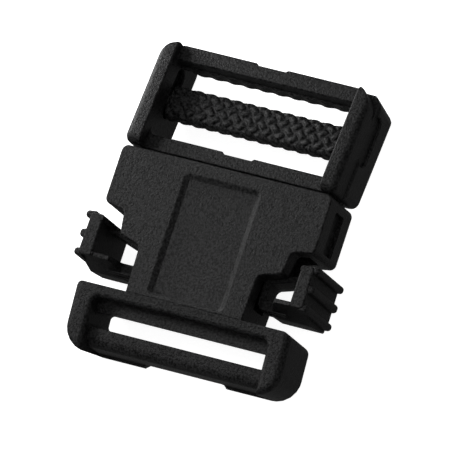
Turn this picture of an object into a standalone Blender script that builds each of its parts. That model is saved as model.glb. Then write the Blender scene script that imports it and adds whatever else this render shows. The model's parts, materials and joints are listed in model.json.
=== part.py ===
"""Side-release buckle for 50 mm webbing, with a tension-adjusting slider bar on its plug half.

Two mouldings lock together: a socket with a fixed web frame, and a plug whose web frame carries a
knurled bar that slides in slots in its side rails.  Both web frames bend down from the flat socket.
Everything is modelled in the socket's own axes (X across, Y towards the plug, Z up, top plate at
Z = 0), then the whole buckle is laid on the ground on the far edges of its two frames.
"""
import math

import bmesh
import bpy
from mathutils import Matrix, Vector

MM = 0.001
MERGE_DISTANCE = 0.00002

# Driving dimensions, in millimetres
BUCKLE_HALF_WIDTH = 31.4
GAP = 0.3                        # clearance between a moving piece and its neighbour
REACH = 40.0                     # cutters run out to here, past everything they cut
OVERLAP = 1.0                    # pieces of one moulding run this far into each other
NUDGE = 0.1                      # keeps two faces from lying in one plane
EDGE_RADIUS = 0.8                # small corners, seen from above or from the side
CORNER_RADIUS = 1.4              # larger corners of the socket's outline

SOCKET_DEPTH = 17.8
SOCKET_MOUTH_Y = 20.8
SHOULDER_END_Y = 4.0
TAB_HALF_WIDTH = 24.5
TAB_END_Y = -3.5
TAB_TAPER = 0.8
SHOULDER_SLOPE = 1.0
NECK_HALF_WIDTH = 17.5
NECK_TOP_Y = -5.5
NECK_TAPER = 0.4
PLATE_THICKNESS = 5.1            # top and bottom plate, measured at their rims
SIDE_WALL = 3.1
SIDE_POCKET = (5.8, 17.8, 1.5)   # Y from, Y to, depth
SIDE_POCKET_MARGIN = 0.4         # pocket to cavity, in height
MOUTH_END_Y = 2.0                # the wide cavity behind the mouth ends here
PANEL_HALF_WIDTH = 11.3
PANEL_Y = (-17.6, 17.0)
PANEL_DEPTH = 0.6

WEB_FRAME_Y = -18.6              # fold between the socket's neck and its web frame
NECK_ROOT_INSET = 0.2            # the block that joins the neck to the frame is narrower than the neck
NECK_ROOT_HEIGHT = (-15.3, -1.0)
WEB_FRAME_TILT = math.radians(9.3)
WEB_FRAME_HALF_WIDTH = 32.2
WEB_FRAME_LENGTH = 18.1
WEB_FRAME_DEPTH = 16.4
WEB_SLOT_HALF_LENGTH = 27.0
WEB_SLOT_Y = (7.3, 12.2)         # distances outwards from the fold
WEB_SHELF_Y = 3.3                # the sunk shelf between the rim and the slot starts here
WEB_SHELF_DEPTH = 5.0
WEB_SHELF_HALF_LENGTH = 26.4
WEB_BAR_DROP = 3.0               # the outer bar's top lies below the frame's rim
WEB_BAR_INSET = 1.0              # the lowered part of the bar stops short of the slot's ends
WEB_CORNER_RADIUS = 5.0
WEB_NOTCH_HALF_WIDTH = 12.5      # shallow notch in the outer bar's far face
WEB_NOTCH_SLOPE = 1.0
WEB_NOTCH_DEPTH = 0.7

PLUG_FOLD_Y = 21.5               # fold between the plug's tongue and its web frame
PLUG_TILT = math.radians(9.5)
PLUG_FRAME_LENGTH = 31.4
RAIL_OUTER = 31.8
RAIL_INNER = 27.1
RAIL_END_RADIUS = 5.9            # seen from above, at the plug frame's outer corners
RAIL_SIDE_RADII = (2.6, 1.6)     # seen from the side, at the rail's outer end: bottom, top
RAIL_TOP = 1.4
RAIL_BOTTOM = -18.8
INNER_CROSSBAR = (0.15, 4.7, -2.9, -16.6)     # set back from the mating plane, Y to, top, bottom
OUTER_CROSSBAR = (26.3, 31.25, -1.9, -8.9)    # Y from, Y to, top, bottom
CROSSBAR_NOTCH_HALF_WIDTH = 4.8
CROSSBAR_NOTCH_DEPTH = 0.8
LIP_TOOTH_PITCH = 4.7
LIP_TOOTH_SHARE = (0.32, 0.20)   # half width of a scallop at the lip and at its root, per pitch
LIP_TOOTH_DEPTH = 0.45

SLIDER_Y = 17.1                  # rest position, from the plug's fold
SLIDER_Z = -8.6
SLIDER_WIDTH = 9.2
SLIDER_THICKNESS = 6.2
SLIDER_HALF_LENGTH = 26.7
SLIDER_BOSS_RADIUS = 2.3
GUIDE_SLOT_Y = (12.4, 27.2)
GUIDE_SLOT_HALF_HEIGHT = 2.7
GUIDE_SLOT_DEPTH = 1.9           # into each rail from its inner face
SLIDER_SQUARENESS = 0.7          # 1 is an ellipse, 0 a rectangle

TONGUE_HALF_WIDTH = 7.3
TONGUE_TAPER = 1.0
TONGUE_END_Y = -2.0
TONGUE_ROOT = 2.2                # how far it runs into the inner crossbar
TONGUE_TOP = -6.4
TONGUE_BOTTOM = -11.4

ARM_TOP = -5.7                   # the part of an arm that lies between the socket's plates
ARM_BOTTOM = -12.1
ARM_ROOT = (17.9, 22.9)          # X of the beam's inner and outer faces at its root
ARM_ROOT_Y = 21.0
ARM_BEAM_OUTER = 19.9            # X of the beam's outer face beside the grip
GRIP_TOP = 1.5
GRIP_BOTTOM = -20.0
GRIP_INNER = 29.9
GRIP_OUTER = 33.6
GRIP_UPPER_Y = 0.3
GRIP_RIDGE_HEIGHT = 1.7
GRIP_RIDGE_WIDTH = 2.1
GRIP_RIDGE_SETBACK = 0.6         # below the grip's top and above its foot
GRIP_RIDGE_Y = (-0.5, -5.9, -11.2)
GRIP_TAPER = 0.4
GRIP_HOOK_THICKNESS = 2.2        # at the grip's upper end, towards the socket
GRIP_BOX_INNER = 28.0            # the grip's upper end starts here, clear of the socket's tab
TIP_BOX_INNER = 22.9             # its tip reaches further in, beside the narrower neck
ARM_TIP_Y = (-13.0, -9.9)
ARM_TIP_INNER = 18.1
ARM_TIP_CHAMFER = 1.6
ARM_WEB_ROOT_Y = -5.2            # inner edge of the web that joins the beam to the grip
ARM_WEB_THICKNESS = 1.7

BLACK = (0.022, 0.022, 0.023, 1.0)


def clear_scene():
    for old in list(bpy.data.objects):
        bpy.data.objects.remove(old, do_unlink=True)


def new_collection(name):
    collection = bpy.data.collections.new(name)
    bpy.context.scene.collection.children.link(collection)
    return collection


def plastic(name, roughness):
    material = bpy.data.materials.new(name)
    material.use_nodes = True
    shader = material.node_tree.nodes["Principled BSDF"]
    shader.inputs["Base Color"].default_value = BLACK
    shader.inputs["Roughness"].default_value = roughness
    shader.inputs["Metallic"].default_value = 0.0
    return material


def rounded_outline(corners, steps=5):
    """Closed outline through (x, y, radius) corners; each corner becomes an arc of its radius."""
    outline = []
    count = len(corners)
    for index, (x, y, radius) in enumerate(corners):
        here = Vector((x, y))
        before = Vector(corners[index - 1][:2]) - here
        after = Vector(corners[(index + 1) % count][:2]) - here
        if radius <= 0:
            outline.append(here)
            continue
        half_angle = before.angle(after) / 2
        reach = radius / math.tan(half_angle)
        start = here + before.normalized() * reach
        end = here + after.normalized() * reach
        centre = here + (before.normalized() + after.normalized()).normalized() * (
            radius / math.sin(half_angle))
        for step in range(steps + 1):
            spoke = (start - centre).lerp(end - centre, step / steps)
            outline.append(centre + spoke.normalized() * radius)
    return outline


def mirrored(half):
    """The +X half of an outline, from its +Y end round to its -Y end, joined to its mirror image."""
    return half + [(-x, y, radius) for x, y, radius in reversed(half)]


def mesh_from_curve(curve_object):
    """Replace a curve object by a closed mesh object in the same place."""
    bpy.context.view_layer.update()
    graph = bpy.context.evaluated_depsgraph_get()
    mesh = bpy.data.meshes.new_from_object(curve_object.evaluated_get(graph))
    shape = bmesh.new()
    shape.from_mesh(mesh)
    bmesh.ops.remove_doubles(shape, verts=shape.verts, dist=0.00001)
    bmesh.ops.recalc_face_normals(shape, faces=shape.faces)
    shape.to_mesh(mesh)
    shape.free()
    name = curve_object.name
    collection = curve_object.users_collection[0]
    matrix = curve_object.matrix_world.copy()
    bpy.data.objects.remove(curve_object, do_unlink=True)
    solid = bpy.data.objects.new(name, mesh)
    collection.objects.link(solid)
    solid.matrix_world = matrix
    return solid


def slab(name, collection, outline, low, high, frame=Matrix(), across="Z"):
    """Flat outline made solid between two heights, in a frame; across names the extruded axis."""
    curve = bpy.data.curves.new(name, "CURVE")
    curve.dimensions = "2D"
    curve.fill_mode = "BOTH"
    curve.extrude = (high - low) / 2 * MM
    spline = curve.splines.new("POLY")
    spline.points.add(len(outline) - 1)
    for point, place in zip(spline.points, outline):
        point.co = (place[0] * MM, place[1] * MM, 0, 1)
    spline.use_cyclic_u = True
    solid = bpy.data.objects.new(name, curve)
    collection.objects.link(solid)
    lift = Matrix.Translation((0, 0, (high + low) / 2 * MM))
    turn = Matrix()
    if across == "X":
        # outline x runs along Y and outline y along Z, extruded along X
        turn = Matrix(((0, 0, 1, 0), (1, 0, 0, 0), (0, 1, 0, 0), (0, 0, 0, 1)))
    solid.matrix_world = frame @ turn @ lift
    return mesh_from_curve(solid)


def block(name, collection, low, high, frame=Matrix()):
    """Box between two corners, in a frame."""
    mesh = bpy.data.meshes.new(name)
    shape = bmesh.new()
    size = [(b - a) * MM for a, b in zip(low, high)]
    middle = [(b + a) / 2 * MM for a, b in zip(low, high)]
    bmesh.ops.create_cube(shape, size=1.0, matrix=Matrix.Diagonal((*size, 1.0)))
    bmesh.ops.translate(shape, verts=shape.verts, vec=middle)
    shape.to_mesh(mesh)
    shape.free()
    solid = bpy.data.objects.new(name, mesh)
    collection.objects.link(solid)
    solid.matrix_world = frame
    return solid


def rod(name, collection, radius, start_x, end_x, y, z, frame=Matrix(), sides=24):
    """Round bar along X."""
    mesh = bpy.data.meshes.new(name)
    shape = bmesh.new()
    place = Matrix.Translation(((start_x + end_x) / 2 * MM, y * MM, z * MM))
    bmesh.ops.create_cone(
        shape, cap_ends=True, segments=sides, radius1=radius * MM, radius2=radius * MM,
        depth=(end_x - start_x) * MM, matrix=place @ Matrix.Rotation(math.pi / 2, 4, "Y"))
    shape.to_mesh(mesh)
    shape.free()
    solid = bpy.data.objects.new(name, mesh)
    collection.objects.link(solid)
    solid.matrix_world = frame
    return solid


def combine(target, tools, operation):
    """Boolean every tool into the target; the tools stay as hidden wire guides."""
    for tool in tools:
        modifier = target.modifiers.new(f"{operation.title()} {tool.name}", "BOOLEAN")
        modifier.operation = operation
        modifier.solver = "EXACT"
        modifier.object = tool
        tool.hide_render = True
        tool.display_type = "WIRE"
    return target


def apply_modifiers(solid):
    """Bake a solid's Booleans into its mesh, and merge the slivers and flat splits they leave."""
    bpy.context.view_layer.update()
    graph = bpy.context.evaluated_depsgraph_get()
    mesh = bpy.data.meshes.new_from_object(solid.evaluated_get(graph))
    shape = bmesh.new()
    shape.from_mesh(mesh)
    bmesh.ops.remove_doubles(shape, verts=shape.verts, dist=MERGE_DISTANCE)
    bmesh.ops.dissolve_degenerate(shape, edges=shape.edges, dist=MERGE_DISTANCE)
    bmesh.ops.dissolve_limit(shape, angle_limit=math.radians(0.3), verts=shape.verts,
                             edges=shape.edges)
    bmesh.ops.triangulate(shape, faces=shape.faces)
    shape.to_mesh(mesh)
    shape.free()
    solid.data = mesh
    solid.modifiers.clear()


def set_origin(solid, place):
    """Move an object's origin to a point in millimetres without moving its shape."""
    matrix = Matrix.Translation(Vector(place) * MM)
    solid.data.transform(matrix.inverted() @ solid.matrix_world)
    solid.matrix_world = matrix


def fold_frame(y, tilt):
    """Axes of a web frame: origin on its fold, turned about X."""
    return Matrix.Translation((0, y * MM, 0)) @ Matrix.Rotation(tilt, 4, "X")


def socket(parts, cutters, material):
    """Hollow body with stepped side windows, plus the web frame moulded to its neck."""
    half = [
        (BUCKLE_HALF_WIDTH, SOCKET_MOUTH_Y, CORNER_RADIUS),
        (BUCKLE_HALF_WIDTH, SHOULDER_END_Y, CORNER_RADIUS),
        (TAB_HALF_WIDTH + TAB_TAPER, SHOULDER_END_Y - SHOULDER_SLOPE, CORNER_RADIUS),
        (TAB_HALF_WIDTH, TAB_END_Y, EDGE_RADIUS),
        (NECK_HALF_WIDTH + NECK_TAPER, NECK_TOP_Y, CORNER_RADIUS),
        (NECK_HALF_WIDTH, WEB_FRAME_Y, 0),
    ]
    outline = rounded_outline(mirrored(half))
    body = slab("socket", parts, outline, -SOCKET_DEPTH, 0)

    frame = fold_frame(WEB_FRAME_Y, WEB_FRAME_TILT)
    rim = [
        (WEB_FRAME_HALF_WIDTH, WEB_FRAME_DEPTH * math.tan(WEB_FRAME_TILT) + OVERLAP, 0),
        (WEB_FRAME_HALF_WIDTH, -WEB_FRAME_LENGTH, WEB_CORNER_RADIUS),
        (WEB_NOTCH_HALF_WIDTH + WEB_NOTCH_SLOPE, -WEB_FRAME_LENGTH, 0),
        (WEB_NOTCH_HALF_WIDTH, -WEB_FRAME_LENGTH + WEB_NOTCH_DEPTH, 0),
    ]
    web_frame = slab("web_frame_blank", cutters, rounded_outline(mirrored(rim)),
                     -WEB_FRAME_DEPTH, 0, frame)
    front_cut = block("web_frame_front_cut", cutters, (-REACH, WEB_FRAME_Y, -REACH),
                      (REACH, WEB_FRAME_Y + REACH, REACH))
    combine(web_frame, [front_cut], "DIFFERENCE")
    root_half = NECK_HALF_WIDTH - NECK_ROOT_INSET
    neck_root = block("neck_root_blank", cutters,
                      (-root_half, WEB_FRAME_Y - OVERLAP, NECK_ROOT_HEIGHT[0]),
                      (root_half, WEB_FRAME_Y + OVERLAP, NECK_ROOT_HEIGHT[1]))

    cavity_top = -PLATE_THICKNESS
    cavity_bottom = -SOCKET_DEPTH + PLATE_THICKNESS
    inner = BUCKLE_HALF_WIDTH - SIDE_WALL
    mouth = block("mouth_cut", cutters, (-inner, MOUTH_END_Y, cavity_bottom),
                  (inner, SOCKET_MOUTH_Y + OVERLAP, cavity_top))
    windows = block("window_cut", cutters, (-REACH, ARM_TIP_Y[0] - 3 * GAP, cavity_bottom),
                    (REACH, SHOULDER_END_Y - GAP, cavity_top))
    panel = [
        (PANEL_HALF_WIDTH, PANEL_Y[1], CORNER_RADIUS),
        (PANEL_HALF_WIDTH, PANEL_Y[0], CORNER_RADIUS),
    ]
    panel_cut = slab("panel_cut", cutters, rounded_outline(mirrored(panel), 4), -PANEL_DEPTH,
                     REACH)

    pocket_low = cavity_bottom + SIDE_POCKET_MARGIN
    pocket_high = cavity_top - SIDE_POCKET_MARGIN
    pockets = []
    for side in (-1, 1):
        near = side * (BUCKLE_HALF_WIDTH - SIDE_POCKET[2])
        far = side * REACH
        pockets.append(block(f"pocket_cut_{'right' if side > 0 else 'left'}", cutters,
                             (min(near, far), SIDE_POCKET[0], pocket_low),
                             (max(near, far), SIDE_POCKET[1], pocket_high)))

    slot = [
        (WEB_SLOT_HALF_LENGTH, -WEB_SLOT_Y[0], EDGE_RADIUS),
        (WEB_SLOT_HALF_LENGTH, -WEB_SLOT_Y[1], EDGE_RADIUS),
    ]
    slot_cut = slab("web_slot_cut", cutters, rounded_outline(mirrored(slot), 3), -REACH, REACH,
                    frame)
    bar_half = WEB_SLOT_HALF_LENGTH - WEB_BAR_INSET
    bar_cut = block("web_bar_cut", cutters, (-bar_half, -REACH, -WEB_BAR_DROP),
                    (bar_half, -WEB_SLOT_Y[1] + OVERLAP, REACH), frame)
    shelf_cut = block("web_shelf_cut", cutters,
                      (-WEB_SHELF_HALF_LENGTH, -WEB_SLOT_Y[0] - OVERLAP, -WEB_SHELF_DEPTH),
                      (WEB_SHELF_HALF_LENGTH, -WEB_SHELF_Y, REACH), frame)

    combine(body, [neck_root, web_frame], "UNION")
    combine(body, [mouth, windows, panel_cut, *pockets, slot_cut, bar_cut, shelf_cut], "DIFFERENCE")
    apply_modifiers(body)
    body.data.materials.append(material)
    return body


def plug_frame(parts, cutters, material):
    """Web frame with two rails and two crossbars, and the tongue that guides it into the socket."""
    frame = fold_frame(PLUG_FOLD_Y, -PLUG_TILT)

    def mating_y(z, clearance=0.0):
        """Distance from the fold, at height z, of the upright plane that faces the socket."""
        return -z * math.tan(PLUG_TILT) + clearance

    rail_profile = rounded_outline([
        (mating_y(RAIL_TOP), RAIL_TOP, EDGE_RADIUS),
        (mating_y(RAIL_BOTTOM), RAIL_BOTTOM, 0),
        (PLUG_FRAME_LENGTH, RAIL_BOTTOM, RAIL_SIDE_RADII[0]),
        (PLUG_FRAME_LENGTH, RAIL_TOP, RAIL_SIDE_RADII[1]),
    ], 4)
    over = RAIL_OUTER + OVERLAP
    body = slab("plug_frame", parts, rail_profile, RAIL_INNER, over, frame, "X")
    other_rail = slab("left_rail_blank", cutters, rail_profile, -over, -RAIL_INNER, frame, "X")

    recess, high_y, top, bottom = INNER_CROSSBAR
    inner_profile = [Vector(corner) for corner in (
        (mating_y(top, recess), top), (mating_y(bottom, recess), bottom),
        (high_y, bottom), (high_y, top))]
    bar_end = RAIL_INNER + OVERLAP
    inner_bar = slab("inner_crossbar_blank", cutters, inner_profile, -bar_end, bar_end, frame, "X")
    low_y, high_y, top, bottom = OUTER_CROSSBAR
    outer_bar = block("outer_crossbar_blank", cutters, (-bar_end, low_y, bottom),
                      (bar_end, high_y, top), frame)
    tongue_outline = rounded_outline(mirrored([
        (TONGUE_HALF_WIDTH, PLUG_FOLD_Y + TONGUE_ROOT, 0),
        (TONGUE_HALF_WIDTH - TONGUE_TAPER, TONGUE_END_Y, CORNER_RADIUS),
    ]), 3)
    tongue = slab("tongue_blank", cutters, tongue_outline, TONGUE_BOTTOM, TONGUE_TOP)

    half_notch = CROSSBAR_NOTCH_HALF_WIDTH
    outer_edge = OUTER_CROSSBAR[1]
    inner_edge = INNER_CROSSBAR[1]
    outer_notch = block("outer_notch_cut", cutters,
                        (-half_notch, outer_edge - CROSSBAR_NOTCH_DEPTH, -REACH),
                        (half_notch, REACH, REACH), frame)
    inner_notch = block("inner_notch_cut", cutters,
                        (-half_notch, inner_edge - CROSSBAR_NOTCH_DEPTH, -REACH),
                        (half_notch, inner_edge + OVERLAP, REACH), frame)

    teeth = []
    count = int(2 * RAIL_INNER / LIP_TOOTH_PITCH)
    lip = OUTER_CROSSBAR[0]
    wide, narrow = (LIP_TOOTH_PITCH * share for share in LIP_TOOTH_SHARE)
    for index in range(count):
        x = (index - (count - 1) / 2) * LIP_TOOTH_PITCH
        scallop = rounded_outline([
            (x - wide, lip - OVERLAP, 0),
            (x + wide, lip - OVERLAP, 0),
            (x + narrow, lip + LIP_TOOTH_DEPTH, 0),
            (x - narrow, lip + LIP_TOOTH_DEPTH, 0),
        ])
        teeth.append(slab(f"lip_scallop_cut_{index}", cutters, scallop, -REACH, REACH, frame))

    slot_low = SLIDER_Z - GUIDE_SLOT_HALF_HEIGHT
    slot_high = SLIDER_Z + GUIDE_SLOT_HALF_HEIGHT
    round_end = GUIDE_SLOT_HALF_HEIGHT * 0.98
    slot_side = rounded_outline([
        (GUIDE_SLOT_Y[0], slot_low, round_end),
        (GUIDE_SLOT_Y[1], slot_low, round_end),
        (GUIDE_SLOT_Y[1], slot_high, round_end),
        (GUIDE_SLOT_Y[0], slot_high, round_end),
    ], 5)
    slot_end = RAIL_INNER + GUIDE_SLOT_DEPTH
    guide_slots = slab("guide_slot_cut", cutters, slot_side, -slot_end, slot_end, frame, "X")

    corners = [
        (RAIL_OUTER, -REACH, 0),
        (RAIL_OUTER, PLUG_FRAME_LENGTH + NUDGE, RAIL_END_RADIUS),
    ]
    plan = slab("frame_plan_limit", cutters, rounded_outline(mirrored(corners)), -REACH, REACH,
                frame)

    combine(body, [other_rail, inner_bar, outer_bar, tongue], "UNION")
    combine(body, [plan], "INTERSECT")
    combine(body, [outer_notch, inner_notch, guide_slots, *teeth], "DIFFERENCE")
    apply_modifiers(body)
    set_origin(body, (0, PLUG_FOLD_Y, 0))
    body.data.materials.append(material)
    return body


def slider_bar(parts, cutters, material):
    """Flattened bar across the plug's frame, with a round boss at each end in the guide slots."""
    frame = fold_frame(PLUG_FOLD_Y, -PLUG_TILT)
    half_y = SLIDER_WIDTH / 2
    half_z = SLIDER_THICKNESS / 2

    def squared(value):
        return math.copysign(abs(value) ** SLIDER_SQUARENESS, value)

    section = []
    sides = 20
    for step in range(sides):
        angle = 2 * math.pi * step / sides
        section.append((SLIDER_Y + half_y * squared(math.cos(angle)),
                        SLIDER_Z + half_z * squared(math.sin(angle))))
    bar = slab("slider_bar", parts, section, -SLIDER_HALF_LENGTH, SLIDER_HALF_LENGTH, frame, "X")
    boss_end = RAIL_INNER + GUIDE_SLOT_DEPTH - GAP
    pin = rod("slider_boss_blank", cutters, SLIDER_BOSS_RADIUS, -boss_end, boss_end, SLIDER_Y,
              SLIDER_Z, frame)
    combine(bar, [pin], "UNION")
    apply_modifiers(bar)
    middle = frame @ Vector((0, SLIDER_Y * MM, SLIDER_Z * MM))
    set_origin(bar, middle / MM)
    bar.data.materials.append(material)
    return bar


def latch_arm(parts, cutters, material, side):
    """Springy arm: a beam between the plates, turned back at its tip into a tall ridged grip."""
    word = "right" if side > 0 else "left"

    def mirror(corners):
        turned = [(side * x, y, radius) for x, y, radius in corners]
        return rounded_outline(turned if side > 0 else list(reversed(turned)), 3)

    web_y = GRIP_UPPER_Y - EDGE_RADIUS
    web_outer = GRIP_INNER + OVERLAP
    thin = mirror([
        (ARM_ROOT[1], ARM_ROOT_Y, 0),
        (ARM_ROOT[0], ARM_ROOT_Y, 0),
        (ARM_TIP_INNER, ARM_TIP_Y[0] + ARM_TIP_CHAMFER, 0),
        (ARM_TIP_INNER + ARM_TIP_CHAMFER, ARM_TIP_Y[0], 0),
        (web_outer, ARM_TIP_Y[0], 0),
        (web_outer, ARM_TIP_Y[1], 0),
        (ARM_BEAM_OUTER, ARM_TIP_Y[1], EDGE_RADIUS),
        (ARM_BEAM_OUTER, ARM_WEB_ROOT_Y, EDGE_RADIUS),
        (web_outer, web_y - ARM_WEB_THICKNESS, 0),
        (web_outer, web_y, 0),
        (ARM_BEAM_OUTER + ARM_WEB_THICKNESS, ARM_WEB_ROOT_Y + 2 * ARM_WEB_THICKNESS, EDGE_RADIUS),
    ])
    arm = slab(f"arm_{word}", parts, thin, ARM_BOTTOM, ARM_TOP)

    grip = mirror([
        (GRIP_OUTER - GRIP_TAPER, GRIP_UPPER_Y, EDGE_RADIUS),
        (GRIP_BOX_INNER, web_y - GRIP_TAPER, 0),
        (GRIP_BOX_INNER, web_y - GRIP_HOOK_THICKNESS, 0),
        (GRIP_INNER, web_y - GRIP_HOOK_THICKNESS + GRIP_TAPER, EDGE_RADIUS),
        (GRIP_INNER, ARM_TIP_Y[1], EDGE_RADIUS),
        (TIP_BOX_INNER, ARM_TIP_Y[1], 0),
        (TIP_BOX_INNER, ARM_TIP_Y[0], 0),
        (GRIP_OUTER, ARM_TIP_Y[0], EDGE_RADIUS),
    ])
    blank = slab(f"grip_blank_{word}", cutters, grip, GRIP_BOTTOM, GRIP_TOP)
    ridges = []
    half = GRIP_RIDGE_WIDTH / 2
    crest = GRIP_OUTER + GRIP_RIDGE_HEIGHT
    for index, y in enumerate(GRIP_RIDGE_Y):
        outline = mirror([
            (GRIP_OUTER - OVERLAP, y - half, 0),
            (crest, y - half, EDGE_RADIUS),
            (crest, y + half, EDGE_RADIUS),
            (GRIP_OUTER - OVERLAP, y + half, 0),
        ])
        ridges.append(slab(f"grip_ridge_{word}_{index}", cutters, outline,
                           GRIP_BOTTOM + GRIP_RIDGE_SETBACK, GRIP_TOP - GRIP_RIDGE_SETBACK))
    combine(arm, [blank, *ridges], "UNION")
    apply_modifiers(arm)
    set_origin(arm, (side * (ARM_ROOT[0] + ARM_ROOT[1]) / 2, ARM_ROOT_Y, 0))
    arm.data.materials.append(material)
    return arm


def lay_down(objects):
    """Parent everything to one empty, and rest the buckle on the ends of its two web frames."""
    base = bpy.data.objects.new("buckle_base", None)
    bpy.context.scene.collection.objects.link(base)
    bpy.context.view_layer.update()
    corners = [item.matrix_world @ vertex.co for item in objects for vertex in item.data.vertices]
    front = [p for p in corners if p.y > PLUG_FOLD_Y * MM]
    back = [p for p in corners if p.y < WEB_FRAME_Y * MM]
    lean = 0.0
    for _ in range(8):
        turned = Matrix.Rotation(lean, 3, "X")
        low_front = min(front, key=lambda p: (turned @ p).z)
        low_back = min(back, key=lambda p: (turned @ p).z)
        lean = -math.atan2(low_front.z - low_back.z, low_front.y - low_back.y)
    turned = Matrix.Rotation(lean, 3, "X")
    placed = [turned @ p for p in corners]
    lift = -min(p.z for p in placed)
    shift = -(min(p.y for p in placed) + max(p.y for p in placed)) / 2
    for item in objects:
        item.parent = base
    base.matrix_world = Matrix.Translation((0, shift, lift)) @ Matrix.Rotation(lean, 4, "X")
    return base


def build():
    clear_scene()
    parts = new_collection("side_release_buckle")
    cutters = new_collection("cutters")
    body_plastic = plastic("black_body_plastic", 0.55)
    plug_plastic = plastic("black_plug_plastic", 0.52)
    grip_plastic = plastic("black_grip_plastic", 0.5)
    bar_plastic = plastic("black_bar_plastic", 0.45)
    objects = [
        socket(parts, cutters, body_plastic),
        plug_frame(parts, cutters, plug_plastic),
        latch_arm(parts, cutters, grip_plastic, -1),
        latch_arm(parts, cutters, grip_plastic, 1),
        slider_bar(parts, cutters, bar_plastic),
    ]
    lay_down(objects)


build()
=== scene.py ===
"""Looks of a black moulded side-release buckle with a knurled slider bar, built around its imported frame.

Shapes are drawn in the socket's own axes (millimetres, top plate at Z = 0, Y towards the plug) and carried
to the frame's axes by one matrix, read from the frame's joints.
"""

import json
import math

import bmesh
import bpy
from mathutils import Matrix, Vector


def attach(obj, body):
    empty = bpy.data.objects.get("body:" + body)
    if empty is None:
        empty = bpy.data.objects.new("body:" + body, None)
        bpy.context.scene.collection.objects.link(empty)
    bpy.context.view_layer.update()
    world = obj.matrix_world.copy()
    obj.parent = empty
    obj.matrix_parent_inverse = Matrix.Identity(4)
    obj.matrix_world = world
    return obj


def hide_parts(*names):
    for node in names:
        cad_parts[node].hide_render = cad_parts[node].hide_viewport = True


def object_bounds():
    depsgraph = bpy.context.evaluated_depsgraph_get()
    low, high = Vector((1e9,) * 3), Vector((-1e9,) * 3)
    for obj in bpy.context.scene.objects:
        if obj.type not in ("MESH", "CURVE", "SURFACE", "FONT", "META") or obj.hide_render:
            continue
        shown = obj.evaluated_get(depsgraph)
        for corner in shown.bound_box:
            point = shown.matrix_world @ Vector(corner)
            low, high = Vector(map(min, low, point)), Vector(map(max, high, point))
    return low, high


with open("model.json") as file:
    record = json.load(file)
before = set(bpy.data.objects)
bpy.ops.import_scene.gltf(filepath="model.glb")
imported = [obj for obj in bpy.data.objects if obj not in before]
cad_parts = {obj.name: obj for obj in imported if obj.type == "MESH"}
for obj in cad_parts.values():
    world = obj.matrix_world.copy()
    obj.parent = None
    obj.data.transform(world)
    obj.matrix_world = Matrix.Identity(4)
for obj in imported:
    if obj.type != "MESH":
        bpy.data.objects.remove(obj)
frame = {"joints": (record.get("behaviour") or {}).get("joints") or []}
cad_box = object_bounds()

MM = 0.001

# Sizes and places in the socket's axes, in millimetres
ARM_PIVOT = Vector((20.4, 21.0, -8.9))       # the right arm's hinge, as the frame's joint gives it
SOCKET_DEPTH = 17.8
SOCKET_MOUTH_Y = 20.8
SOCKET_HALF_WIDTH = 31.7
SIDE_WALL = 3.1
PLATE = 5.1                                  # thickness of each plate of the socket
NECK_HALF_WIDTH = 17.5
PANEL_HALF_WIDTH = 11.4
PANEL_Y = (-17.7, 17.0)
SIDE_POCKET_Y = (5.6, 17.6)
SIDE_POCKET_DEPTH = 1.3

WEB_FOLD_Y = -18.6                           # between the socket's neck and its web frame
WEB_TILT = math.radians(9.3)
WEB_DEPTH = 16.4
WEB_RIM_EDGE = 1.9
WEB_SLOT_END = 26.4                          # half the webbing slot's length
WEB_SLOT_Y = (-11.5, -7.2)                   # from the fold
WEB_DISH_EDGE = 1.3                          # rounds the rim round the sunk shelf and the bar's ends

PLUG_FOLD_Y = 21.5                           # between the plug's tongue and its web frame
PLUG_TILT = math.radians(9.5)
PLUG_SLOPE = math.tan(PLUG_TILT)
RAIL_INNER = 27.1
RAIL_OUTER = 31.8
RAIL_TOP = 1.4
RAIL_BOTTOM = -18.8
RAIL_LENGTH = 32.0
RAIL_CORNER_RADIUS = 7.0                     # seen from above
SKIRT_SPREAD = 0.5                           # the rail's lower part stands out past its upper part
INNER_CROSSBAR_END = 5.0                     # both crossbars, from the fold
OUTER_CROSSBAR_END = 31.95
NOTCH_DEPTH = 0.8                            # shallow notch in each crossbar's far face
GUIDE_DEPTH = 1.9                            # groove for the slider's boss, in the rail's inner face
LIP_Y = 26.58
SCALLOP_PITCH = 4.7
SCALLOP_DEPTH = 0.45

ARM_HEIGHTS = (-12.1, -5.7)                  # of the beam between the socket's plates
GRIP_TOP = 1.5
GRIP_BOTTOM = -20.0
RIDGE_Y = (-0.5, -5.9, -11.2)
RIDGE_ROOTS = (1.25, 1.7, 1.25)              # half width of each ridge where it leaves the grip

SLIDER_Y = 17.1                              # in the plug's axes
SLIDER_Z = -8.6
SLIDER_HALF_LENGTH = 26.6
SLIDER_HALF_WIDTH = 4.8
SLIDER_HALF_THICKNESS = 3.1
SLIDER_POWER = 0.6                           # 1 gives an ellipse, 0 a rectangle
BOSS_RADIUS = 2.3
BOSS_END = 28.7                              # 0.3 short of the groove's floor
KNURL_CELL = 3.9
KNURL_DEPTH = 0.6

ARC_STEP = math.radians(15)
QUARTER_STEPS = 4
SIDES = {-1: "left", 1: "right"}


def joint(name):
    return next(j for j in frame["joints"] if j["name"] == name)


def base_matrix():
    """From the socket's axes to the frame's: a lean about X, then a shift."""
    lean = math.atan2(joint("plug_play")["axis"][2], joint("plug_play")["axis"][1])
    turn = Matrix.Rotation(lean, 4, "X")
    shift = Vector(joint("squeeze_right")["pos_m"]) - turn @ (ARM_PIVOT * MM)
    return Matrix.Translation(shift) @ turn


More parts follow.
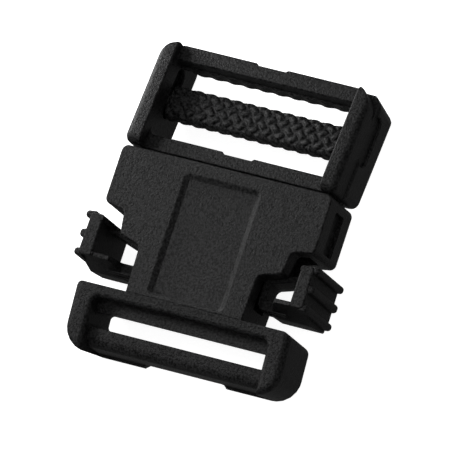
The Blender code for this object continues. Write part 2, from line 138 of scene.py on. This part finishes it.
BASE = base_matrix()
WEB = Matrix.Translation((0, WEB_FOLD_Y * MM, 0)) @ Matrix.Rotation(WEB_TILT, 4, "X")
PLUG = Matrix.Translation((0, PLUG_FOLD_Y * MM, 0)) @ Matrix.Rotation(-PLUG_TILT, 4, "X")
FLAT = Matrix()
ALONG_X = Matrix(((0, 0, 1, 0), (1, 0, 0, 0), (0, 1, 0, 0), (0, 0, 0, 1)))
ALONG_Y = Matrix(((1, 0, 0, 0), (0, 0, -1, 0), (0, 1, 0, 0), (0, 0, 0, 1)))


# Outlines and solids

def rounded(corners):
    """Closed outline through (x, y, radius) corners, each corner an arc of its radius."""
    outline = []
    count = len(corners)
    for index, (x, y, radius) in enumerate(corners):
        here = Vector((x, y))
        before = (Vector(corners[index - 1][:2]) - here).normalized()
        after = (Vector(corners[(index + 1) % count][:2]) - here).normalized()
        if radius <= 0:
            outline.append(here)
            continue
        half = before.angle(after) / 2
        start = here + before * radius / math.tan(half)
        end = here + after * radius / math.tan(half)
        centre = here + (before + after).normalized() * radius / math.sin(half)
        steps = max(2, round((math.pi - 2 * half) / ARC_STEP))
        for i in range(steps + 1):
            spoke = (start - centre).lerp(end - centre, i / steps)
            outline.append(centre + spoke.normalized() * radius)
    return outline


def mirrored(half):
    """The +X half of an outline from its +Y end round to its -Y end, joined to its mirror image."""
    return half + [(-x, y, radius) for x, y, radius in reversed(half)]


def area(outline):
    return sum(a.x * b.y - b.x * a.y for a, b in zip(outline, outline[1:] + outline[:1])) / 2


def grown(outline, amount):
    """The outline moved outwards by an amount, or inwards if it is negative."""
    side = 1 if area(outline) > 0 else -1
    count = len(outline)
    result = []
    for i in range(count):
        before = (outline[i] - outline[i - 1]).normalized()
        after = (outline[(i + 1) % count] - outline[i]).normalized()
        normal = Vector((before.y + after.y, -(before.x + after.x))) * side
        if normal.length < 1e-6:
            normal = Vector((before.y, -before.x)) * side
        normal.normalize()
        spread = max(0.35, normal.dot(Vector((before.y, -before.x)) * side))
        result.append(outline[i] + normal * amount / spread)
    return result


def lofted(name, outline, levels, place=FLAT):
    """Closed solid whose sections are the outline grown by an amount at each height."""
    shape = bmesh.new()
    rings = []
    for amount, height in levels:
        ring = [shape.verts.new((p.x * MM, p.y * MM, height * MM)) for p in grown(outline, amount)]
        rings.append(ring)
    count = len(outline)
    for low, high in zip(rings, rings[1:]):
        for i in range(count):
            shape.faces.new((low[i - 1], low[i], high[i], high[i - 1]))
    shape.faces.new(rings[0])
    shape.faces.new(rings[-1])
    return solid_from(shape, name, place)


def solid_from(shape, name, place):
    """Object made from a closed bmesh, which is freed."""
    bmesh.ops.recalc_face_normals(shape, faces=shape.faces)
    mesh = bpy.data.meshes.new(name)
    shape.to_mesh(mesh)
    shape.free()
    solid = bpy.data.objects.new(name, mesh)
    bpy.context.scene.collection.objects.link(solid)
    solid.matrix_world = place
    return solid


def quarter(radius):
    """(inset, rise) pairs round a quarter circle, from flat to upright."""
    angles = [math.pi / 2 * i / QUARTER_STEPS for i in range(QUARTER_STEPS + 1)]
    return [(radius * (1 - math.sin(a)), radius * (1 - math.cos(a))) for a in angles]


def flare_levels(face, radius, inward):
    """Levels of a flare, from the face where it is widest to where the cut is straight."""
    return [(growth, face + inward * rise) for growth, rise in quarter(radius)]


def span_on(side, near, far):
    """X from and to, of a stretch between two distances from the middle."""
    return (near, far) if side > 0 else (-far, -near)


def ends_on(side, near, far):
    """Values for a stretch's low and high X ends, from those for its near and far ends."""
    return (near, far) if side > 0 else (far, near)


def bar(name, outline, low, high, place=FLAT, low_edge=0.4, high_edge=0.4):
    """Prism with rounded end edges."""
    levels = []
    if low_edge > 0:
        levels += [(-inset, low + rise) for inset, rise in quarter(low_edge)]
    else:
        levels.append((0, low))
    if high_edge > 0:
        levels += [(-inset, high - rise) for inset, rise in reversed(quarter(high_edge))]
    else:
        levels.append((0, high))
    return lofted(name, outline, levels, place)


def cutter(name, outline, low, high, place=FLAT, low_flare=0.0, high_flare=0.0, reach=6.0):
    """Cutting prism; a flare rounds the edge it leaves where it breaks out of a face."""
    levels = [(0, low)]
    if low_flare > 0:
        levels = [(low_flare, low - reach)] + flare_levels(low, low_flare, 1)
    if high_flare > 0:
        levels += list(reversed(flare_levels(high, high_flare, -1))) + [(high_flare, high + reach)]
    else:
        levels.append((0, high))
    return lofted(name, outline, levels, place)


def wedge(name, side, points, span, place=FLAT):
    """Cutting prism along Y through (x, z) points, mirrored for the left side."""
    outline = [Vector((side * x, z)) for x, z in points]
    return lofted(name, outline, [(0, span[0]), (0, span[1])], place @ ALONG_Y)


def box(name, low, high, place=FLAT):
    outline = [Vector(p) for p in ((low[0], low[1]), (high[0], low[1]), (high[0], high[1]),
                                   (low[0], high[1]))]
    return lofted(name, outline, [(0, low[2]), (0, high[2])], place)


def boolean(target, tools, operation):
    for tool in tools:
        modifier = target.modifiers.new(tool.name, "BOOLEAN")
        modifier.operation = operation
        modifier.solver = "EXACT"
        modifier.object = tool
        bpy.context.view_layer.update()
        graph = bpy.context.evaluated_depsgraph_get()
        mesh = bpy.data.meshes.new_from_object(target.evaluated_get(graph))
        target.modifiers.clear()
        target.data = mesh
        bpy.data.objects.remove(tool, do_unlink=True)


def finish_piece(solid, material, body, node, angle=32):
    """Clean a solid's mesh, carry it to the frame's axes, and hand it to its body."""
    shape = bmesh.new()
    shape.from_mesh(solid.data)
    bmesh.ops.remove_doubles(shape, verts=shape.verts, dist=0.000008)
    bmesh.ops.dissolve_degenerate(shape, edges=shape.edges, dist=0.000008)
    shape.transform(BASE @ solid.matrix_world)
    shape.to_mesh(solid.data)
    shape.free()
    solid.matrix_world = Matrix()
    solid.data.materials.clear()
    solid.data.materials.append(material)
    solid.data.shade_smooth()
    solid.data.set_sharp_from_angle(angle=math.radians(angle))
    weighted = solid.modifiers.new("even shading", "WEIGHTED_NORMAL")
    weighted.keep_sharp = True
    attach(solid, body)
    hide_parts(node)
    return solid


# Materials

def plastic(name, colour, roughness):
    """Black moulded plastic: fine spark-eroded grain and faint mottling."""
    grain = 0.45
    material = bpy.data.materials.new(name)
    material.use_nodes = True
    nodes = material.node_tree.nodes
    links = material.node_tree.links
    shader = nodes["Principled BSDF"]
    place = nodes.new("ShaderNodeTexCoord")

    def noise_node(scale, detail, rough):
        node = nodes.new("ShaderNodeTexNoise")
        node.inputs["Scale"].default_value = scale
        node.inputs["Detail"].default_value = detail
        node.inputs["Roughness"].default_value = rough
        links.new(place.outputs["Object"], node.inputs["Vector"])
        return node

    def ramp(source, low, high, start, end):
        node = nodes.new("ShaderNodeMapRange")
        node.inputs["From Min"].default_value = low
        node.inputs["From Max"].default_value = high
        node.inputs["To Min"].default_value = start
        node.inputs["To Max"].default_value = end
        links.new(source, node.inputs["Value"])
        return node.outputs["Result"]

    fine = noise_node(1600, 2, 0.7)
    middle = noise_node(1900, 2, 0.6)
    broad = noise_node(70, 3, 0.5)

    mottle = nodes.new("ShaderNodeMath")
    mottle.operation = "ADD"
    links.new(ramp(fine.outputs["Fac"], 0.40, 0.60, -1.0, 1.0), mottle.inputs[0])
    links.new(ramp(broad.outputs["Fac"], 0.3, 0.7, -0.12, 0.12), mottle.inputs[1])
    tone = nodes.new("ShaderNodeMix")
    tone.data_type = "RGBA"
    tone.inputs["A"].default_value = (colour * 0.05, colour * 0.05, colour * 0.05, 1)
    tone.inputs["B"].default_value = (colour * 1.95, colour * 1.95, colour * 1.98, 1)
    links.new(ramp(mottle.outputs[0], -1.0, 1.0, 0.0, 1.0), tone.inputs["Factor"])
    links.new(tone.outputs["Result"], shader.inputs["Base Color"])

    links.new(ramp(fine.outputs["Fac"], 0.3, 0.7, roughness - 0.07, roughness + 0.09),
              shader.inputs["Roughness"])
    normal = None
    for source, distance in ((middle, 0.0004), (fine, 0.0003)):
        bump = nodes.new("ShaderNodeBump")
        bump.inputs["Strength"].default_value = grain
        bump.inputs["Distance"].default_value = distance
        links.new(source.outputs["Fac"], bump.inputs["Height"])
        if normal:
            links.new(normal, bump.inputs["Normal"])
        normal = bump.outputs["Normal"]
    links.new(normal, shader.inputs["Normal"])
    shader.inputs["Specular IOR Level"].default_value = 0.07
    return material


# Socket

def socket_body(material):
    """Hollow flat body with a sunk panel, side windows and pockets, and the web frame at its foot."""
    half = [
        (SOCKET_HALF_WIDTH, SOCKET_MOUTH_Y, 1.9),
        (SOCKET_HALF_WIDTH, 4.0, 1.7),
        (25.4, 3.0, 1.5),
        (24.4, -3.5, 1.0),
        (17.9, -5.5, 1.7),
        (NECK_HALF_WIDTH, WEB_FOLD_Y - 0.1, 0),
    ]
    body = bar("socket_shell", rounded(mirrored(half)), -SOCKET_DEPTH, 0, low_edge=0.6, high_edge=0.5)
    root = box("neck_root", (-NECK_HALF_WIDTH + 0.3, WEB_FOLD_Y - 2.0, -SOCKET_DEPTH + 1.8),
               (NECK_HALF_WIDTH - 0.3, WEB_FOLD_Y + 2.0, -0.9))
    boolean(body, [root, web_frame()], "UNION")

    low, high = -SOCKET_DEPTH + PLATE, -PLATE
    inner = SOCKET_HALF_WIDTH - SIDE_WALL
    mouth = rounded([(inner, low, 0.8), (inner, high, 0.8), (-inner, high, 0.8), (-inner, low, 0.8)])
    mouth_cut = cutter("mouth", mouth, -SOCKET_MOUTH_Y, -2.0, ALONG_Y, low_flare=0.5)
    window_cut = box("window", (-40, -13.9, low), (40, 3.6, high))
    panel = rounded(mirrored([(PANEL_HALF_WIDTH, PANEL_Y[1], 1.6), (PANEL_HALF_WIDTH, PANEL_Y[0], 1.6)]))
    panel_cut = lofted("panel", panel, [(-1.4, -1.0), (-1.15, -0.93), (-0.15, -0.2), (0.1, -0.05),
                                        (0.4, 0.0), (0.4, 2.0)])
    start, end = SIDE_POCKET_Y
    pocket = rounded([(start, low + 0.5, 0.7), (end, low + 0.5, 0.7), (end, high - 0.5, 0.7),
                      (start, high - 0.5, 0.7)])
    pockets = []
    for side, word in SIDES.items():
        depth = span_on(side, SOCKET_HALF_WIDTH - SIDE_POCKET_DEPTH, SOCKET_HALF_WIDTH + 3)
        pockets.append(lofted(f"pocket_{word}", pocket, [(0, depth[0]), (0, depth[1])], ALONG_X))
    boolean(body, [mouth_cut, window_cut, panel_cut, *pockets], "DIFFERENCE")
    return finish_piece(body, material, "socket", "socket")


def web_frame():
    """Bent-down frame: raised side rims, a sunk shelf, the webbing slot and a rounded outer bar."""
    rim = rounded(mirrored([(32.3, 6.0, 0), (32.3, -18.5, 6.8)]))
    levels = [(0.3 - inset, -WEB_DEPTH + rise) for inset, rise in quarter(0.7)]
    levels += [(-inset, -rise) for inset, rise in reversed(quarter(WEB_RIM_EDGE))]
    frame_body = lofted("web_frame", rim, levels, WEB)
    corner = rounded(mirrored([(32.4, 0.0, 2.2), (32.4, -60.0, 0)]))
    keep = lofted("web_keep", [p + Vector((0, WEB_FOLD_Y)) for p in corner], [(0, -60), (0, 30)])
    boolean(frame_body, [keep], "INTERSECT")

    dish = rounded(mirrored([(WEB_SLOT_END, -3.3, 1.9), (WEB_SLOT_END, -9.0, 0)]))
    dish_cut = cutter("dish", dish, -5.0, 0, WEB, high_flare=WEB_DISH_EDGE)
    slot = rounded(mirrored([(WEB_SLOT_END, WEB_SLOT_Y[1], 1.2), (WEB_SLOT_END, WEB_SLOT_Y[0], 1.2)]))
    slot_cut = lofted("slot", slot, [(0, -40.0), (0, 10.0)], WEB)
    over_bar = rounded([(-7.5, 8.0, 0), (-7.5, -3.1, 0), (-11.3, -3.1, 0), (-16.7, -3.2, 3.0),
                        (-17.9, -12.8, 0), (-17.95, -13.6, 0), (-30.0, -14.2, 0), (-30.0, 8.0, 0)])
    bar_cut = lofted("over_bar", over_bar, [(0, -WEB_SLOT_END), (0, WEB_SLOT_END)], WEB @ ALONG_X)
    end_slope = [(WEB_SLOT_END - 0.5, 4.0), (WEB_SLOT_END - 0.5, -WEB_DISH_EDGE)]
    end_slope += [(WEB_SLOT_END + growth, level)
                  for growth, level in reversed(flare_levels(0, WEB_DISH_EDGE, -1))]
    end_slope.append((WEB_SLOT_END + WEB_DISH_EDGE, 4.0))
    slopes = [wedge(f"end_slope_{SIDES[side]}", side, end_slope, (8.5, 30), WEB) for side in SIDES]
    boolean(frame_body, [dish_cut, slot_cut, bar_cut, *slopes], "DIFFERENCE")

    notch = rounded([(12.5, -25, 0), (12.5, -18.55, 0), (11.6, -17.8, 0.5), (-11.6, -17.8, 0.5),
                     (-12.5, -18.55, 0), (-12.5, -25, 0)])
    notch_cut = lofted("bar_notch", notch, [(0, -40), (0, -11)], WEB)
    boolean(frame_body, [notch_cut], "DIFFERENCE")
    return frame_body


# Plug

def rail_profile(length, low, high, end_low, end_high):
    """Side view of a rail: an upright face towards the socket and rounded outer corners."""
    return rounded([
        (-high * PLUG_SLOPE, high, 2.4),
        (-low * PLUG_SLOPE, low, 2.4),
        (length, low, end_low),
        (length, high, end_high),
    ])


def plug_body(material):
    """Two rails and two crossbars round the slider, with the tongue that runs into the socket."""
    parts = []
    for side, word in SIDES.items():
        wall = span_on(side, RAIL_INNER, RAIL_OUTER)
        parts.append(bar(f"rail_{word}", rail_profile(RAIL_LENGTH, RAIL_BOTTOM, RAIL_TOP, 2.6, 2.4), *wall,
                         PLUG @ ALONG_X, *ends_on(side, 0.5, 1.85)))
        skirt = span_on(side, RAIL_INNER + 2.4, RAIL_OUTER + SKIRT_SPREAD)
        parts.append(bar(f"skirt_{word}", rail_profile(RAIL_LENGTH + 0.6, RAIL_BOTTOM, -5.4, 3.2, 2.6),
                         *skirt, PLUG @ ALONG_X, *ends_on(side, 0.5, 2.2)))
    body = parts.pop()
    body.name = "plug_shell"

    reach = RAIL_INNER + 1                   # the crossbars run into the rails
    parts.append(bar("inner_crossbar", rounded([
        (2.9 * PLUG_SLOPE + 0.1, -2.9, 0.4), (16.6 * PLUG_SLOPE + 0.1, -16.6, 0.6),
        (INNER_CROSSBAR_END, -16.6, 0.8), (INNER_CROSSBAR_END, -2.9, 0.5)]),
        -reach, reach, PLUG @ ALONG_X, 0, 0))
    parts.append(bar("outer_crossbar", rounded([
        (27.3, -1.9, 0.6), (27.3, -5.6, 0.3), (26.6, -6.2, 0.2), (26.6, -8.9, 0.4),
        (OUTER_CROSSBAR_END, -10.5, 0.6), (OUTER_CROSSBAR_END, -1.9, 0.7)]),
        -reach, reach, PLUG @ ALONG_X, 0, 0))
    parts += [corner_web(side) for side in SIDES]
    parts.append(bar("tongue", rounded(mirrored([
        (7.3, PLUG_FOLD_Y + 2.4, 0), (7.3, 2.0, 0), (6.3, -2.0, 1.5)])), -11.4, -6.4))
    boolean(body, parts, "UNION")

    limit = RAIL_OUTER + 0.55
    plan = rounded(mirrored([(limit, -30.0, 0), (limit, RAIL_LENGTH + 0.7, 4.4)]))
    boolean(body, [lofted("plan_limit", plan, [(0, -30), (0, 10)], PLUG)], "INTERSECT")

    cuts = [rail_corner(side) for side in SIDES]
    cuts += [crossbar_notch("outer_notch", OUTER_CROSSBAR_END),
             crossbar_notch("inner_notch", INNER_CROSSBAR_END)]
    groove = rounded([(12.3, -11.3, 2.65), (27.2, -11.3, 2.65), (27.2, -5.9, 2.65), (12.3, -5.9, 2.65)])
    outside = RAIL_OUTER + SKIRT_SPREAD
    for side, word in SIDES.items():
        inward = span_on(side, RAIL_INNER, RAIL_INNER + GUIDE_DEPTH)
        cuts.append(cutter(f"guide_{word}", groove, *inward, PLUG @ ALONG_X, *ends_on(side, 0.35, 0),
                           reach=3))
        recess = span_on(side, outside - 0.8, outside)
        cuts.append(cutter(f"recess_{word}", groove, *recess, PLUG @ ALONG_X, *ends_on(side, 0, 0.5),
                           reach=3))
    boolean(body, cuts, "DIFFERENCE")
    boolean(body, [lip_scallops()], "DIFFERENCE")
    return finish_piece(body, material, "plug", "plug_frame")


def corner_web(side):
    """Rounded fillet between the inner crossbar and a rail."""
    x = side * RAIL_INNER
    outline = [Vector((x + side, 3.5)), Vector((x + side, 7.2)), Vector((x, 7.2))]
    outline += [Vector((x - side * 2.2 * (1 - math.cos(a)), 7.0 - 2.3 * math.sin(a)))
                for a in (math.pi / 2 * i / 6 for i in range(7))]
    outline.append(Vector((x - side * 2.2, 3.5)))
    return lofted(f"corner_web_{SIDES[side]}", outline, [(0, -16.4), (0, -3.0)], PLUG)


def crossbar_notch(name, edge):
    """Shallow notch in the middle of a crossbar's far face."""
    floor = edge - NOTCH_DEPTH
    outline = rounded([(-4.9, edge + 3, 0), (-4.9, edge + 0.05, 0), (-4.3, floor, 0.4),
                       (4.3, floor, 0.4), (4.9, edge + 0.05, 0), (4.9, edge + 3, 0)])
    return lofted(name, outline, [(0, -25), (0, 5)], PLUG)


def rail_corner(side):
    """Cutter that rounds a rail's outer corner, seen from above, over its upper part only."""
    x, y = RAIL_OUTER - RAIL_CORNER_RADIUS, RAIL_LENGTH - RAIL_CORNER_RADIUS
    outline = [(x + RAIL_CORNER_RADIUS * math.sin(a), y + RAIL_CORNER_RADIUS * math.cos(a))
               for a in (math.pi / 2 * i / 10 for i in range(11))]
    outline += [(RAIL_OUTER + 4, y), (RAIL_OUTER + 4, RAIL_LENGTH + 4), (x, RAIL_LENGTH + 4)]
    levels = [(0.6, -5.2), (0.2, -4.9), (0, -4.4), (0, 9.0)]
    return lofted(f"rail_corner_{SIDES[side]}", [Vector((side * a, b)) for a, b in outline], levels, PLUG)


def lip_scallops():
    """Wavy edge along the outer crossbar's lower lip."""
    end = RAIL_INNER - 0.3
    steps = 132
    outline = []
    for i in range(steps + 1):
        x = -end + 2 * end * i / steps
        wave = 0.5 + 0.5 * math.cos(2 * math.pi * x / SCALLOP_PITCH)
        outline.append(Vector((x, LIP_Y + SCALLOP_DEPTH * wave ** 0.8)))
    outline += [Vector((end, 25.0)), Vector((-end, 25.0))]
    return lofted("scallops", outline, [(0, -12), (0, -5.7)], PLUG)


# Latch arms

def latch_arm(material, side):
    """Springy beam with a ridged grip on a web, closed by a slanted tip and a foot under it."""
    word = SIDES[side]
    top, bottom = GRIP_TOP, GRIP_BOTTOM

    def turned(corners):
        flipped = [(side * x, y, radius) for x, y, radius in corners]
        return rounded(flipped if side > 0 else list(reversed(flipped)))

    beam = bar(f"beam_{word}", turned([
        (22.9, 21.0, 0.4), (17.9, 21.0, 0.4), (17.9, -11.9, 0), (19.3, -13.5, 1.0),
        (27.0, -13.5, 0), (27.0, -10.3, 0), (19.9, -10.3, 0.7), (19.9, -5.9, 0.9),
        (30.9, -2.5, 0), (30.9, -0.9, 0), (22.7, -3.2, 1.2)]), *ARM_HEIGHTS)
    pad = bar(f"arm_{word}_shell", turned([
        (33.6, 0.3, 1.0), (29.9, 0.1, 0.6), (29.9, -11.7, 0.6), (33.9, -11.9, 1.2)]),
        bottom, top, FLAT, 0.5, 0.5)
    web = bar(f"web_{word}", turned([
        (30.6, 0.0, 0), (27.7, -1.1, 0.4), (27.7, -2.3, 0.4), (30.6, -1.5, 0)]),
        bottom + 2.2, top, FLAT, 0.4, 0.3)
    web_slope = [(29.9, top + 0.3), (28.3, -6.0), (18.0, -6.0), (18.0, top + 3.0), (29.9, top + 3.0)]
    boolean(web, [wedge(f"web_slope_{word}", side, web_slope, (-3, 12))], "DIFFERENCE")

    tip_profile = rounded([(-10.5, top - 0.2, 0.3), (-10.0, bottom + 0.6, 0.5),
                           (-13.2, bottom + 0.2, 0.8), (-13.9, -10.0, 6.0), (-11.5, top - 0.2, 0.4)])
    tip = bar(f"tip_{word}", tip_profile, *span_on(side, 22.9, 33.5), ALONG_X, 0.25, 0.25)
    tip_slope = [(30.0, top + 0.4), (29.6, top - 0.5), (25.2, top - 0.9), (24.4, top - 2.2),
                 (23.6, -5.0), (22.0, -7.0), (18.0, -7.0), (18.0, top + 3.0), (30.0, top + 3.0)]
    boolean(tip, [wedge(f"tip_slope_{word}", side, tip_slope, (7, 16))], "DIFFERENCE")

    foot_profile = rounded([(-9.9, -7.5, 0.5), (-9.9, bottom + 0.6, 0.5),
                            (-13.2, bottom + 0.2, 0.8), (-13.7, -8.0, 0.8)])
    foot = bar(f"foot_{word}", foot_profile, *span_on(side, 20.9, 25.0), ALONG_X)
    ridges = []
    for index, (y, root) in enumerate(zip(RIDGE_Y, RIDGE_ROOTS)):
        outline = turned([(32.6, y - root, 0), (35.3, y - 0.95, 0.9), (35.3, y + 0.95, 0.9),
                          (32.6, y + root, 0)])
        ridges.append(bar(f"ridge_{word}_{index}", outline, bottom + 0.5, top - 0.3, FLAT, 0.6, 0.85))
    boolean(pad, [beam, web, tip, foot, *ridges], "UNION")
    return finish_piece(pad, material, f"{word}_arm", f"arm_{word}")


# Slider bar

def slider_section(angle):
    cos, sin = math.cos(angle), math.sin(angle)
    return Vector((SLIDER_HALF_WIDTH * math.copysign(abs(cos) ** SLIDER_POWER, cos),
                   SLIDER_HALF_THICKNESS * math.copysign(abs(sin) ** SLIDER_POWER, sin)))


def slider_ring(around):
    """Points evenly spaced round the slider's section, their outward normals, and the distance round."""
    samples = 3000
    fine = [slider_section(2 * math.pi * i / samples) for i in range(samples + 1)]
    lengths = [0.0]
    for a, b in zip(fine, fine[1:]):
        lengths.append(lengths[-1] + (b - a).length)
    ring = []
    spot = 0
    for j in range(around):
        while lengths[spot + 1] < lengths[-1] * j / around:
            spot += 1
        ring.append(fine[spot])
    normals = []
    for j in range(around):
        along = ring[(j + 1) % around] - ring[j - 1]
        normals.append(Vector((along.y, -along.x)).normalized())
    return ring, normals, lengths[-1]


def knurled_bar():
    """Flattened bar wrapped in a raised basket weave, shallower on its narrow sides."""
    rows_along, around = 360, 168
    knurl_end = SLIDER_HALF_LENGTH - 0.1
    ring, normals, girth = slider_ring(around)
    turns = round(girth / KNURL_CELL)
    shape = bmesh.new()
    rows = []
    for i in range(rows_along + 1):
        x = -SLIDER_HALF_LENGTH + 2 * SLIDER_HALF_LENGTH * i / rows_along
        row = []
        for j, normal in enumerate(normals):
            rise = weave(x / KNURL_CELL, j / around * turns) if abs(x) < knurl_end else 0.0
            rise *= min(1.0, max(0.0, (knurl_end - abs(x)) / 0.3))
            depth = KNURL_DEPTH * (0.35 + 0.65 * abs(normal.y))
            p = ring[j] + normal * (0.08 - depth * (1 - rise))
            row.append(shape.verts.new((x * MM, (SLIDER_Y + p.x) * MM, (SLIDER_Z + p.y) * MM)))
        rows.append(row)
    for low, high in zip(rows, rows[1:]):
        for j in range(around):
            shape.faces.new((low[j - 1], low[j], high[j], high[j - 1]))
    shape.faces.new(rows[0])
    shape.faces.new(rows[-1])
    return solid_from(shape, "slider_knurled_bar", PLUG)


def slider(material):
    """The knurled bar, and the round boss at each of its ends."""
    pieces = [finish_piece(knurled_bar(), material, "slider", "slider_bar", angle=60)]
    circle = [Vector((SLIDER_Y + BOSS_RADIUS * math.cos(a), SLIDER_Z + BOSS_RADIUS * math.sin(a)))
              for a in (2 * math.pi * i / 40 for i in range(40))]
    for side, word in SIDES.items():
        span = span_on(side, SLIDER_HALF_LENGTH - 0.2, BOSS_END)
        boss = bar(f"slider_boss_{word}", circle, *span, PLUG @ ALONG_X)
        pieces.append(finish_piece(boss, material, "slider", "slider_bar"))
    return pieces


def weave(x, s):
    """Height of long bumps laid alternately on the two diagonals, 0 in the grooves, 1 on the bumps."""
    u, v = x + s, x - s
    fu, fv = u - math.floor(u), v - math.floor(v)
    if (math.floor(u) + math.floor(v)) % 2:
        fu, fv = fv, fu
    width, crown = 0.6, 0.6
    across = max(0.0, 1 - (abs(2 * fv - 1) / width) ** 2)
    along = max(0.0, 1 - abs(2 * fu - 1) ** 3)
    return across ** crown * along ** crown


# Surroundings

def studio():
    """Pale floor, a soft sky that fades towards the horizon, and three lamps aimed at the origin."""
    mesh = bpy.data.meshes.new("floor")
    shape = bmesh.new()
    bmesh.ops.create_grid(shape, x_segments=1, y_segments=1, size=3.0)
    shape.to_mesh(mesh)
    shape.free()
    floor = bpy.data.objects.new("floor", mesh)
    floor.location.z = cad_box[0][2]
    bpy.context.scene.collection.objects.link(floor)
    material = bpy.data.materials.new("pale_floor")
    material.use_nodes = True
    shader = material.node_tree.nodes["Principled BSDF"]
    shader.inputs["Base Color"].default_value = (0.4, 0.4, 0.4, 1)
    shader.inputs["Roughness"].default_value = 0.9
    shader.inputs["Specular IOR Level"].default_value = 0.1
    shader.inputs["Emission Color"].default_value = (1, 1, 1, 1)
    shader.inputs["Emission Strength"].default_value = 0.92
    floor.data.materials.append(material)
    floor.visible_glossy = False
    floor.visible_diffuse = False

    world = bpy.data.worlds.new("soft_white")
    world.use_nodes = True
    background = world.node_tree.nodes["Background"]
    background.inputs["Strength"].default_value = 0.85
    sky = world.node_tree.nodes
    links = world.node_tree.links
    place = sky.new("ShaderNodeTexCoord")
    parts = sky.new("ShaderNodeSeparateXYZ")
    fade = sky.new("ShaderNodeMapRange")
    fade.interpolation_type = "SMOOTHSTEP"
    fade.inputs["From Min"].default_value = 0.0
    fade.inputs["From Max"].default_value = 0.8
    fade.inputs["To Min"].default_value = 0.36
    fade.inputs["To Max"].default_value = 1.0
    height = sky.new("ShaderNodeMath")
    height.operation = "MULTIPLY_ADD"
    height.inputs[1].default_value = 0.35
    links.new(place.outputs["Generated"], parts.inputs[0])
    links.new(parts.outputs["Y"], height.inputs[0])
    links.new(parts.outputs["Z"], height.inputs[2])
    links.new(height.outputs[0], fade.inputs["Value"])
    links.new(fade.outputs["Result"], background.inputs["Color"])
    bpy.context.scene.world = world

    for name, place, width, power in (
            ("key_light", (-0.95, 0.1, 0.75), 0.35, 22.5),
            ("near_light", (-0.12, 0.075, 0.036), 0.04, 0.3),
            ("fill_light", (-0.2, 0.0, 1.2), 1.0, 2.0)):
        lamp = bpy.data.lights.new(name, "AREA")
        lamp.shape = "DISK"
        lamp.size = width
        lamp.energy = power
        light = bpy.data.objects.new(name, lamp)
        light.location = place
        light.visible_camera = False
        light.rotation_euler = Vector(place).to_track_quat("Z", "Y").to_euler()
        bpy.context.scene.collection.objects.link(light)
    bpy.context.scene.view_settings.view_transform = "Standard"


def camera():
    """Long lens, from above the buckle's right side and its web frame, with a small roll."""
    right = Vector((0.8953, 0.3078, -0.3217)).normalized()
    up = Vector((-0.2249, 0.9363, 0.2700))
    up = (up - right * up.dot(right)).normalized()
    back = right.cross(up)
    view_width = 121.5
    distance = 4.0
    middle = right * 5.562 + up * 4.374
    turn = BASE.to_3x3()
    axes = Matrix((turn @ right, turn @ up, turn @ back)).transposed()
    place = BASE @ (middle * MM) + (turn @ back) * distance
    lens = bpy.data.cameras.new("camera")
    lens.sensor_width = 36.0
    lens.lens = 36.0 * distance / (view_width * MM)
    lens.clip_start = 0.01
    lens.clip_end = 10.0
    item = bpy.data.objects.new("camera", lens)
    item.matrix_world = Matrix.Translation(place) @ axes.to_4x4()
    bpy.context.scene.collection.objects.link(item)
    bpy.context.scene.camera = item


camera()
studio()
body_plastic = plastic("black_socket_plastic", 0.0056, 0.54)
plug_plastic = plastic("black_plug_plastic", 0.0050, 0.52)
grip_plastic = plastic("black_grip_plastic", 0.0056, 0.6)
bar_plastic = plastic("black_bar_plastic", 0.0075, 0.5)
socket_body(body_plastic)
plug_body(plug_plastic)
for side in SIDES:
    latch_arm(grip_plastic, side)
for piece in slider(bar_plastic):
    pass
